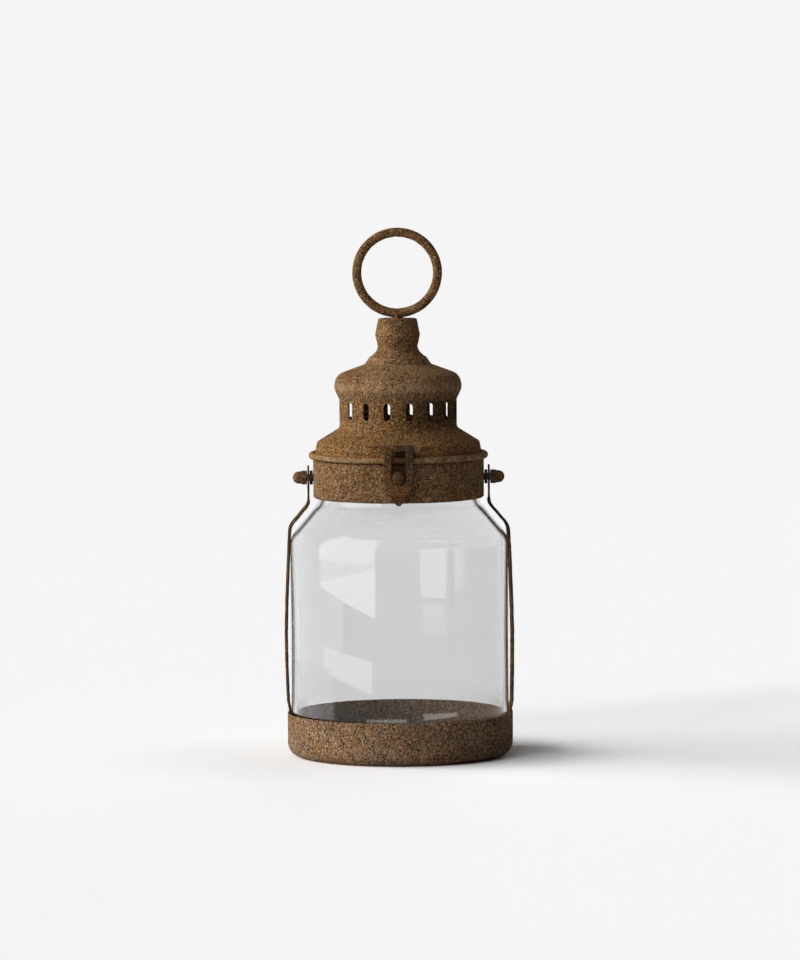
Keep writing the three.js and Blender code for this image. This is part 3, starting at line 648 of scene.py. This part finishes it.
# Hinge plate and hasp: sheet forks whose arms end in knuckles on a pin
fork = {"half": 8.15, "sheet": 1.2, "inside": 51.6, "slot": 4.2, "knuckle": 2, "pin": 1, "hole": 1.3,
        "pinReach": 50.8, "pinHeight": 178, "pinHead": 1.7, "pinHeadWidth": 0.5, "pinNeck": 8.45, "rodSides": 40,
        "voxel": 0.2, "lumps": {"lumps": 0.06, "lumpSize": 1.7, "waveSize": 14}}


def crossRod(name, radius, start, end):
    outline = rounded([(0, start), (radius, start, 0.15), (radius, end, 0.15), (0, end)])
    piece = turned(name, outline, fork["rodSides"], 0.5, None, toRight)
    piece.data.transform(Matrix.Translation((0, -fork["pinReach"] * mm, fork["pinHeight"] * mm)))
    return piece


# The path gives the distance of the plate's inner face from the lantern's axis at each height
def makeFork(name, path, face, slotLow):
    slot, top, half = fork["slot"], fork["pinHeight"], fork["half"]
    arms = [(slot, top), (slot, slotLow, slot), (-slot, slotLow, slot), (-slot, top)]
    outline = evened(rounded(face), 1, False) + evened(rounded([face[-1][:2]] + arms + [face[0][:2]])[1:-1], 1, False)
    plate = lofted("plate", [[(p.x, -depth, p.y) for p in outline] for depth in (0, fork["sheet"])])
    flat = fused("plate_skin", [plate], fork["voxel"], 0)
    line = evened(path, 0.5, False)
    for vertex in flat.data.vertices:
        height = vertex.co.z / mm
        below = max((p for p in line if p.y <= height), key=lambda p: p.y, default=line[0])
        above = min((p for p in line if p.y > height), key=lambda p: p.y, default=line[-1])
        share = 0 if above.y == below.y else (height - below.y) / (above.y - below.y)
        slope = (above.x - below.x) / max(above.y - below.y, 1e-6)
        stretch = math.sqrt(1 + slope**2)
        vertex.co.y = vertex.co.y * stretch - below.lerp(above, min(max(share, 0), 1)).x * mm
    knuckles = [crossRod("knuckle", fork["knuckle"], *ends) for ends in ((-half, -slot), (slot, half))]
    piece = fused(name, [flat] + knuckles, fork["voxel"], 4)
    drill = crossRod("drill", fork["hole"], -12, 12)
    bored = piece.modifiers.new("bore", "BOOLEAN")
    bored.operation = "DIFFERENCE"
    bored.object = drill
    settled(piece)
    bpy.data.objects.remove(drill)
    return piece


hasp = {"tip": 144.0, "tipRound": 2.2, "tipStandoff": 49.6, "taper": 156, "taperRound": 12, "bend": 166,
        "slotLow": 157.4}
half, top = fork["half"], fork["pinHeight"]
haspPath = rounded([(hasp["tipStandoff"], hasp["tip"]), (fork["inside"], hasp["bend"], 2), (fork["inside"], top)])
haspFace = [(-half, top), (-half, hasp["taper"], hasp["taperRound"]), (0, hasp["tip"], hasp["tipRound"]),
            (half, hasp["taper"], hasp["taperRound"]), (half, top)]
haspPiece = makeFork("hasp_plate", haspPath, haspFace, hasp["slotLow"])
haspCoat = rustCoat("rust coat, hasp", 4.0, grain=0.75, brown=(0.105, 0.062, 0.034), orange=(0.34, 0.145, 0.035),
                    tan=(0.34, 0.22, 0.13), orangeShare=0.8, patches=7.0, dirtShare=0.9, wear=0.5)
handOver(roughened(haspPiece, wave=0.08, seed=6, **fork["lumps"]), "hasp", ["hasp"], haspCoat)

hinge = {"low": 150.2, "round": 2.5, "joggleLow": 164.5, "joggle": 167.9, "slotLow": 173}
hingePath = rounded([(onCollar, hinge["low"]), (onCollar, hinge["joggleLow"], 1.5),
                     (fork["inside"], hinge["joggle"], 1.5), (fork["inside"], top)])
hingeFace = [(-half, top), (-half, hinge["low"], hinge["round"]), (half, hinge["low"], hinge["round"]), (half, top)]
hingePiece = makeFork("hinge_at_back", hingePath, hingeFace, hinge["slotLow"])
hingePiece.data.transform(Matrix.Rotation(math.pi, 4, "Z"))
handOver(roughened(hingePiece, seed=7, **fork["lumps"]), "base", ["hinge_plate"], haspCoat)


# Pins with peened ends, and the lugs on the lid that turn on them
def makePin(name):
    neck, end = fork["pinNeck"], fork["pinNeck"] + fork["pinHeadWidth"]
    parts = [crossRod("rod", fork["pin"], -neck - 0.3, neck + 0.3)]
    parts += [crossRod("head", fork["pinHead"], *ends) for ends in ((-end, -neck), (neck, end))]
    return fused(name, parts, 0.14, 2)


lug = {"half": 3.9, "sheet": 1.1, "footLow": 173.9, "wallLow": 47.4, "wallHigh": 46.6}


def makeLug(name):
    low, high = fork["pinHeight"] - lug["sheet"] / 2, fork["pinHeight"] + lug["sheet"] / 2
    outline = rounded([
        (lug["wallLow"], lug["footLow"]),
        (lug["wallLow"] + lug["sheet"], lug["footLow"], 0.3),
        (lug["wallHigh"] + lug["sheet"] + 0.1, low, 0.6),
        (fork["pinReach"], low),
        (fork["pinReach"], high),
        (lug["wallHigh"], high),
    ])
    foot = lofted("foot", [[(x, -p.x, p.y) for p in outline] for x in (-lug["half"], lug["half"])])
    return fused(name, [foot, crossRod("knuckle", fork["knuckle"], -lug["half"], lug["half"])], 0.17, 3)


# Lugs and pins take the darker hasp coat: painted shade in the hasp's slot
for name, body, node, maker, turn in (
    ("hasp_pin_rod", "lid", "hasp_pin", makePin, 0),
    ("hinge_pin_rod", "base", "hinge_pin", makePin, math.pi),
    ("lug_at_front", "lid", "latch_lug", makeLug, 0),
    ("lug_at_back", "lid", "hinge_lug", makeLug, math.pi),
):
    piece = maker(name)
    piece.data.transform(Matrix.Rotation(turn, 4, "Z"))
    handOver(roughened(piece, lumpSize=1.5, seed=len(name)), body, [node], haspCoat)

# Lid skirt: a roll round the rim wire, a short wall, a cone and a spigot for the gallery
skirt = {"rollRadius": 49.0, "rollHeight": 171.1, "rollInside": 1.4, "wire": 1.1, "sheet": 0.6, "foot": 47.6,
         "corner": (46.15, 178.85, 1.5), "cone": (33.3, 186.9, 4.5), "seat": 190.2, "spigot": 32.4,
         "spigotTop": 191.9, "sides": 280}
# Three pieces of the lid share one coat: its lumps, and the soot where the slots let the heat out, which is also
# painted shade on the side away from the lamps
lidLumps = {"lumps": 0.065, "lumpSize": 2.0, "wave": 0.12, "waveSize": 22, "seed": 8}
lidSootShade = {"Soot Shade From": -8, "Soot Shade Full": 24, "Soot Shade Height": 197, "Soot Shade Reach": 15}
skirtRoll = arcPoints(skirt["rollRadius"], skirt["rollHeight"], skirt["rollInside"], 130, -180, 12)
skirtWall = rounded([(skirt["foot"], skirt["rollHeight"]), skirt["corner"], skirt["cone"],
                     (skirt["cone"][0], skirt["seat"]), (skirt["spigot"], skirt["seat"]),
                     (skirt["spigot"], skirt["spigotTop"])])
skirtPiece = turned("skirt", sheetOutline(skirtRoll + skirtWall[1:], skirt["sheet"]), skirt["sides"])
# The roll gets painted shade behind the hasp
# The roll is rubbed and gets a painted highlight beyond its rim radius
skirtCoat = rustCoat("rust coat, skirt", 5.0, grain=0.78, brown=(0.28, 0.148, 0.06), orange=(0.39, 0.18, 0.04),
                     worn=(0.64, 0.44, 0.27), orangeShare=0.7, dirtShare=0.45, wear=0.15, rim=50.1, hasp=160,
                     soot=lidSootShade)
handOver(roughened(skirtPiece, **lidLumps), "lid", ["lid_skirt"], skirtCoat)

wire = turned("rim_wire", arcPoints(skirt["rollRadius"], skirt["rollHeight"], skirt["wire"], 0, 330, 30), 200, 5)
handOver(roughened(wire, lumps=0.01, lumpSize=2), "lid", ["lid_rim_wire"], steel)

# Vent gallery: a band with upright round-ended slots, turned in at the top. Its slots are counted from the first, at
# the left. The blank that they leave over, left of the first, is the seam. Those behind were punched off their marks
gallery = {"radius": 33.3, "bottom": 190.2, "top": 202.88, "bend": 0.15, "flange": 2.8, "sheet": 0.6, "slots": 16,
           "pitch": 22, "firstSlot": -55, "strays": {9: 0.5, 12: -3.5, 13: 3.2}, "behind": range(8, 14),
           "backDrop": 1.2, "slotHalf": 1.9, "slotReach": 4.9, "slotMiddle": 197.2, "across": 14, "up": 12,
           "rings": 6, "crowding": 1.3, "lip": 0.12}


# Where a line from the slot's middle towards (u, v) meets the slot's edge
def slotEdge(u, v):
    half, straight = gallery["slotHalf"], gallery["slotReach"] - gallery["slotHalf"]
    if abs(u) > 1e-9 and abs(v) * half / abs(u) <= straight:
        return Vector((u, v)) * half / abs(u)
    way = Vector((u, v)).normalized()
    end = Vector((0, math.copysign(straight, v)))
    along = way.dot(end)
    return way * (along + math.sqrt(max(0.0, along**2 - end.length_squared + half**2)))


def makeGallery():
    radius, middle = gallery["radius"], gallery["slotMiddle"]
    low, high = gallery["bottom"] - middle, gallery["top"] - gallery["bend"] - middle
    pitch, last = math.radians(gallery["pitch"]) * radius, gallery["slots"] - 1
    blank = 2 * math.pi * radius - last * pitch
    upSteps = [low + (high - low) * k / gallery["up"] for k in range(gallery["up"] + 1)]
    turnIn = arcPoints(radius - gallery["bend"], gallery["top"] - gallery["bend"], gallery["bend"], 0, 90, 30)
    turnIn += [Vector((radius - gallery["flange"] * k / 3, gallery["top"])) for k in (1, 2, 3)]
    bm = bmesh.new()
    for slot in range(gallery["slots"]):
        angle = math.radians(gallery["firstSlot"] + slot * gallery["pitch"] - 90)
        left, right = -(blank if slot == 0 else pitch) / 2, (blank if slot == last else pitch) / 2
        acrossSteps = [left + (right - left) * k / gallery["across"] for k in range(gallery["across"] + 1)]
        border = ([(u, low) for u in acrossSteps] + [(right, v) for v in upSteps[1:]]
                  + [(u, high) for u in acrossSteps[-2::-1]] + [(left, v) for v in upSteps[-2:0:-1]])

        def vertexAt(u, v, r):
            turn = angle + u / radius
            return bm.verts.new((r * math.cos(turn) * mm, r * math.sin(turn) * mm, (middle + v) * mm))

        off = Vector((math.radians(gallery["strays"].get(slot, 0)) * radius, 0))
        if slot in gallery["behind"]:
            off.y = -gallery["backDrop"]
        rings = []
        for k in range(gallery["rings"] + 1):
            share = (k / gallery["rings"]) ** gallery["crowding"]
            r = radius - (0 if k else gallery["lip"])
            rings.append([vertexAt(*(slotEdge(u - off.x, v - off.y) + off).lerp(Vector((u, v)), share), r)
                          for u, v in border])
        bridged(bm, rings)
        bridged(bm, [[vertexAt(u, p.y - middle, p.x) for u in acrossSteps] for p in turnIn], closed=False)
    bmesh.ops.remove_doubles(bm, verts=bm.verts, dist=1e-6)
    piece = newPiece("gallery", bm)
    wall = piece.modifiers.new("wall", "SOLIDIFY")
    wall.thickness = gallery["sheet"] * mm
    wall.offset = -1
    return settled(piece)


galleryCoat = rustCoat("rust coat, gallery", 5.0, grain=0.78, brown=(0.265, 0.143, 0.06), wear=0.15,
                       orangeShare=0.5, soot=lidSootShade)
handOver(roughened(makeGallery(), **lidLumps), "lid", ["vent_gallery"], galleryCoat)

# Dome cap
dome = {"foot": 33.3, "bottom": 202.88, "flange": 2.8, "bulge": (36.6, 209.8, 7), "shoulder": (34.7, 217, 8),
        "bell": (18.9, 222.8, 3), "topRadius": 15.9, "top": 227.2, "hole": 2.8, "sheet": 0.8, "sides": 280}
domePath = rounded([
    (dome["foot"] - dome["flange"], dome["bottom"]),
    (dome["foot"], dome["bottom"], 0.15),
    dome["bulge"],
    dome["shoulder"],
    dome["bell"],
    (dome["topRadius"], dome["top"], 0.9),
    (dome["hole"], dome["top"]),
])
domePiece = turned("dome", sheetOutline(domePath, dome["sheet"]), dome["sides"])
# The bulge is rubbed and gets a painted highlight beyond its rim radius
domeCoat = rustCoat("rust coat, dome", 5.0, brown=(0.36, 0.205, 0.1), tan=(0.7, 0.47, 0.28), dirtShare=0.7,
                    rim=35.5, worn=(0.56, 0.38, 0.22), orangeShare=0.5, soot=lidSootShade)
handOver(roughened(domePiece, **lidLumps), "lid", ["dome_cap"], domeCoat)

# Finial
finial = {"foot": 14.9, "bottom": 227.5, "neck": 11.3, "neckHeight": 5.6, "bulge": (12.75, 239.5, 2.5),
          "top": 10.9, "height": 21.3, "topRound": 0.9, "hole": 2.8, "sides": 150}
foot, neck, bottom = finial["foot"], finial["neck"], finial["bottom"]
neckEnd, finialTop = bottom + finial["neckHeight"], bottom + finial["height"]
a, b, c = Vector((foot, bottom)), Vector((neck, bottom + finial["neckHeight"] / 2)), Vector((neck, neckEnd))
footLine = [a.lerp(b, t).lerp(b.lerp(c, t), t) for t in (k / 12 for k in range(13))]
aboveLine = rounded([(neck, neckEnd), finial["bulge"], (finial["top"], finialTop, finial["topRound"]),
                     (finial["hole"], finialTop)])
underLine = [Vector((finial["hole"], bottom - 0.3)), Vector((foot + 0.7, bottom - 0.7))]
finialPiece = turned("finial_knob", underLine + footLine + aboveLine[1:], finial["sides"], 0.9)
roughened(finialPiece, lumps=0.09, lumpSize=1.9, wave=0.12, waveSize=12, seed=11)
finialCoat = rustCoat("rust coat, finial", 5.0, brown=(0.28, 0.158, 0.075), dirtShare=0.8, orangeShare=0.4)
handOver(finialPiece, "lid", ["finial"], finialCoat)

# Carry ring with its weld and stem, and the washer and nut under the dome
ring = {"outer": 25.5, "wire": 2.6, "centre": 274.7, "stem": 2.5, "stemEnd": 219.1, "stemTop": 251,
        "weld": (2.1, 3.3, 1.7), "weldHeight": 250.7, "voxel": 0.3}
hoop = turned("hoop", arcPoints(ring["outer"] - ring["wire"], 0, ring["wire"], 0, 352.5, 7.5), 200, 5)
hoop.data.transform(Matrix.Translation((0, 0, ring["centre"] * mm)) @ toFront)
stemLine = rounded([(0, ring["stemEnd"]), (ring["stem"], ring["stemEnd"], 0.4), (ring["stem"], ring["stemTop"]),
                    (0, ring["stemTop"])])
stem = turned("stem", stemLine, 48, 0.6)
weldLine = arcPoints(0, 0, 1, -90, 90, 10)
weldLine[0].x = weldLine[-1].x = 0
weld = turned("weld", weldLine, 48, 1)
weld.data.transform(Matrix.Translation((0, 0, ring["weldHeight"] * mm)) @ Matrix.Diagonal((*ring["weld"], 1)))
ringPiece = fused("ring", [hoop, stem, weld], ring["voxel"], 3)
roughened(ringPiece, lumps=0.1, lumpSize=1.9, wave=0.06, waveSize=15, seed=12)
ringCoat = rustCoat("rust coat, ring", 11.0, grain=0.75, brown=(0.27, 0.145, 0.06), orangeShare=0.6, patches=6.0)
handOver(ringPiece, "lid", ["carry_ring"], ringCoat)

under = {"hole": 2.8, "washer": (224.9, 226.1), "washerRadius": 6, "nut": (220.6, 224.6), "nutAcross": 8}
low, high = under["washer"]
washer = turned("washer", rounded([(under["hole"], low), (under["washerRadius"], low, 0.2),
                                   (under["washerRadius"], high, 0.2), (under["hole"], high)]), 64, 0.6)
handOver(roughened(washer, **fineLumps), "lid", ["ring_washer"], steel, 35)
nut = makeNut("stem_nut", under["hole"], under["nutAcross"], *under["nut"], 0.6)
handOver(roughened(nut, **fineLumps), "lid", ["ring_nut"], steel, 35)

# Floor: it keeps its shadows, is white to the eye and to the glass, and has no end in view. After a mirroring the
# glass sees it dim, apart from what lies behind. Near the lit side the light off the tray would burn out
studio = {"white": 0.913, "floorBounce": 0.6, "floorSeen": 1.632, "fadeFrom": 1.5, "fadeTo": 3.0, "reach": 60,
          "ambient": 0.032, "glossFront": 0.75, "glossBack": 0.9, "mirrorTurn": (0.3, 0.9), "mirrorLow": 0.12,
          "litSide": (-0.06, -0.02), "litReach": (0, 0.14), "litLoss": 0.15}


def makeFloor():
    bm = bmesh.new()
    bmesh.ops.create_circle(bm, cap_ends=True, radius=studio["reach"], segments=96)
    bm.transform(Matrix.Translation((0, 0, -0.0002)))
    floor = newPiece("floor", bm)
    material, tree, end = newMaterial("paper floor")
    rays = put(tree, "LightPath").outputs
    place = put(tree, "TexCoord").outputs["Object"]
    away = put(tree, "VectorMath", {0: place}, operation="LENGTH").outputs["Value"]
    behind = maths(tree, "DIVIDE", put(tree, "SeparateXYZ", {0: place}).outputs["Y"], away)
    mirrored = ramp(tree, behind, *studio["mirrorTurn"], studio["mirrorLow"], 1.0)
    mirrored = maths(tree, "MAXIMUM", mirrored, maths(tree, "LESS_THAN", rays["Glossy Depth"], 0.5))
    seen = maths(tree, "MAXIMUM", rays["Is Camera Ray"], rays["Is Transmission Ray"])
    seen = times(tree, maths(tree, "MAXIMUM", seen, rays["Is Glossy Ray"]), mirrored)
    near = put(tree, "VectorMath", {0: place, 1: (*studio["litSide"], 0)}, operation="DISTANCE").outputs["Value"]
    bright = studio["floorSeen"]
    low = bright * (1 - studio["litLoss"])
    tone = mixed(tree, ramp(tree, near, *studio["litReach"]), (low, low, low, 1), (bright, bright, bright, 1))
    lit = put(tree, "BsdfDiffuse", {"Color": tone})
    far = put(tree, "Emission", {"Color": (studio["white"],) * 3 + (1,), "Strength": 1.0})
    bounce = put(tree, "BsdfDiffuse", {"Color": (studio["floorBounce"],) * 3 + (1,)})
    fade = ramp(tree, away, studio["fadeFrom"], studio["fadeTo"])
    shown = put(tree, "MixShader", {0: fade, 1: lit.outputs[0], 2: far.outputs[0]})
    both = put(tree, "MixShader", {0: seen, 1: bounce.outputs[0], 2: shown.outputs[0]})
    tree.links.new(both.outputs[0], end.inputs["Surface"])
    floor.data.materials.append(material)


def makeWorld():
    world = bpy.data.worlds.new("studio")
    bpy.context.scene.world = world
    world.use_nodes = True
    tree = world.node_tree
    tree.nodes.clear()
    end = tree.nodes.new("ShaderNodeOutputWorld")
    rays = put(tree, "LightPath").outputs
    seen = maths(tree, "MAXIMUM", rays["Is Camera Ray"], rays["Is Transmission Ray"])
    way = put(tree, "SeparateXYZ", {0: put(tree, "TexCoord").outputs["Generated"]}).outputs
    gloss = ramp(tree, way["Y"], -0.2, 0.6, studio["glossFront"], studio["glossBack"])
    glossy = rays["Is Glossy Ray"]
    light = plus(tree, times(tree, glossy, gloss), times(tree, minus(tree, 1.0, glossy), studio["ambient"]))
    strength = put(tree, "Mix", {0: seen, 2: light, 3: studio["white"]}).outputs[0]
    sky = put(tree, "Background", {"Color": (1, 1, 1, 1), "Strength": strength})
    tree.links.new(sky.outputs[0], end.inputs["Surface"])


# Two wide windows at the left, a small and a dim one in front, a low one behind: turn, share, spread and height
windowLight = {"strength": 4, "lamps": [(-102, 0.46, 40, 20), (-70, 0.36, 40, 22), (-40, 0.11, 12, 28),
                                        (-24, 0.07, 25, 42), (166, 0.3, 30, 3)]}


def makeLights():
    for turn, share, spread, height in windowLight["lamps"]:
        lamp = bpy.data.lights.new("window light", "SUN")
        lamp.energy = windowLight["strength"] * share
        lamp.angle = math.radians(spread)
        holder = bpy.data.objects.new("window light", lamp)
        holder.rotation_euler = (math.radians(90 - height), 0, math.radians(turn))
        holder.visible_glossy = holder.visible_transmission = False
        bpy.context.scene.collection.objects.link(holder)


# Window panes: "near" ones are seen in the wall in front, "far" ones off the wall behind, so each has its own shape.
# Then come the distance in millimetres, the turns from the front in degrees, the lower and upper edges' heights at
# both ends, and the light
panes = [
    ("near", 450, (-89, -24), (80, 79), (700, 700), 2.8),
    ("near", 450, (-88, -24), (65, 76.5), (80, 79), 1.9),
    ("near", 450, (-88, -24), (63, 45), (65, 76.5), 2.8),
    ("near", 250, (-79, -26), (31, 19), (46, 39), 2),
    ("near", 500, (-140, -60), (1, 1), (300, 300), 1.1),
    ("near", 150, (-150, -66), (1, 1), (44, 44), 0.9),
    ("near", 140, (-94, -60), (12, 12), (27, 27), 1.4),
    ("near", 250, (-32, 6), (3, 3), (4.6, 5), 2.1),
    ("near", 250, (22, 56), (4, 4.8), (7.8, 7.2), 2.3),
    ("far", 450, (-58, -25), (36, 36), (72, 72), 3),
    ("far", 450, (-56, -26), (13, 13), (31, 32), 1.6),
    ("far", 450, (-84, -63), (43, 43), (72, 72), 1.8),
]
paneSteps = 12


def makePanes():
    for number, (wall, away, turns, lows, highs, light) in enumerate(panes):
        bm = bmesh.new()
        columns = []
        for k in range(paneSteps + 1):
            turn, low, high = (a + (b - a) * k / paneSteps for a, b in (turns, lows, highs))
            x, y = away * math.sin(math.radians(turn)), -away * math.cos(math.radians(turn))
            columns.append([bm.verts.new((x * mm, y * mm, z * mm)) for z in (low, high)])
        bridged(bm, columns, closed=False)
        piece = newPiece("pane_%d" % number, bm)
        material, tree, end = newMaterial("window pane %d" % number)
        glow = put(tree, "Emission", {"Color": (1, 1, 1, 1), "Strength": light})
        walls = put(tree, "LightPath").outputs["Transmission Depth"]
        active = maths(tree, "GREATER_THAN" if wall == "far" else "LESS_THAN", walls, 3.0)
        both = put(tree, "MixShader", {0: active, 1: put(tree, "BsdfTransparent").outputs[0], 2: glow.outputs[0]})
        tree.links.new(both.outputs[0], end.inputs["Surface"])
        material.cycles.emission_sampling = "NONE"
        piece.data.materials.append(material)
        piece.visible_camera = piece.visible_diffuse = piece.visible_shadow = piece.visible_volume_scatter = False


# A long lens at the photograph's place: 3.42 m in front and 0.414 m up, aimed at half the picture's height.
# It is rolled a little, because the photographed lantern leans to the left
lens = {"distance": 3.42, "height": 0.4138, "side": 0.0008, "aim": 0.1567, "roll": 0.4, "sensor": 36,
        "pixel": 0.5686, "rows": 960}


def makeCamera():
    camera = bpy.data.cameras.new("photo camera")
    away = math.hypot(lens["distance"], lens["height"] - lens["aim"])
    camera.sensor_width = lens["sensor"]
    camera.lens = lens["sensor"] * away / (lens["rows"] * lens["pixel"] * mm)
    camera.clip_start, camera.clip_end = 0.1, 200
    holder = bpy.data.objects.new("photo camera", camera)
    holder.location = (lens["side"], -lens["distance"], lens["height"])
    tilt = math.atan2(lens["height"] - lens["aim"], lens["distance"])
    turn = Matrix.Rotation(math.pi / 2 - tilt, 3, "X") @ Matrix.Rotation(-math.radians(lens["roll"]), 3, "Z")
    holder.rotation_euler = turn.to_euler()
    bpy.context.scene.collection.objects.link(holder)
    bpy.context.scene.camera = holder


makeFloor()
makeWorld()
makeLights()
makePanes()
makeCamera()
bpy.context.scene.view_settings.view_transform = "Standard"
print("studio ready")

bpy.context.view_layer.update()
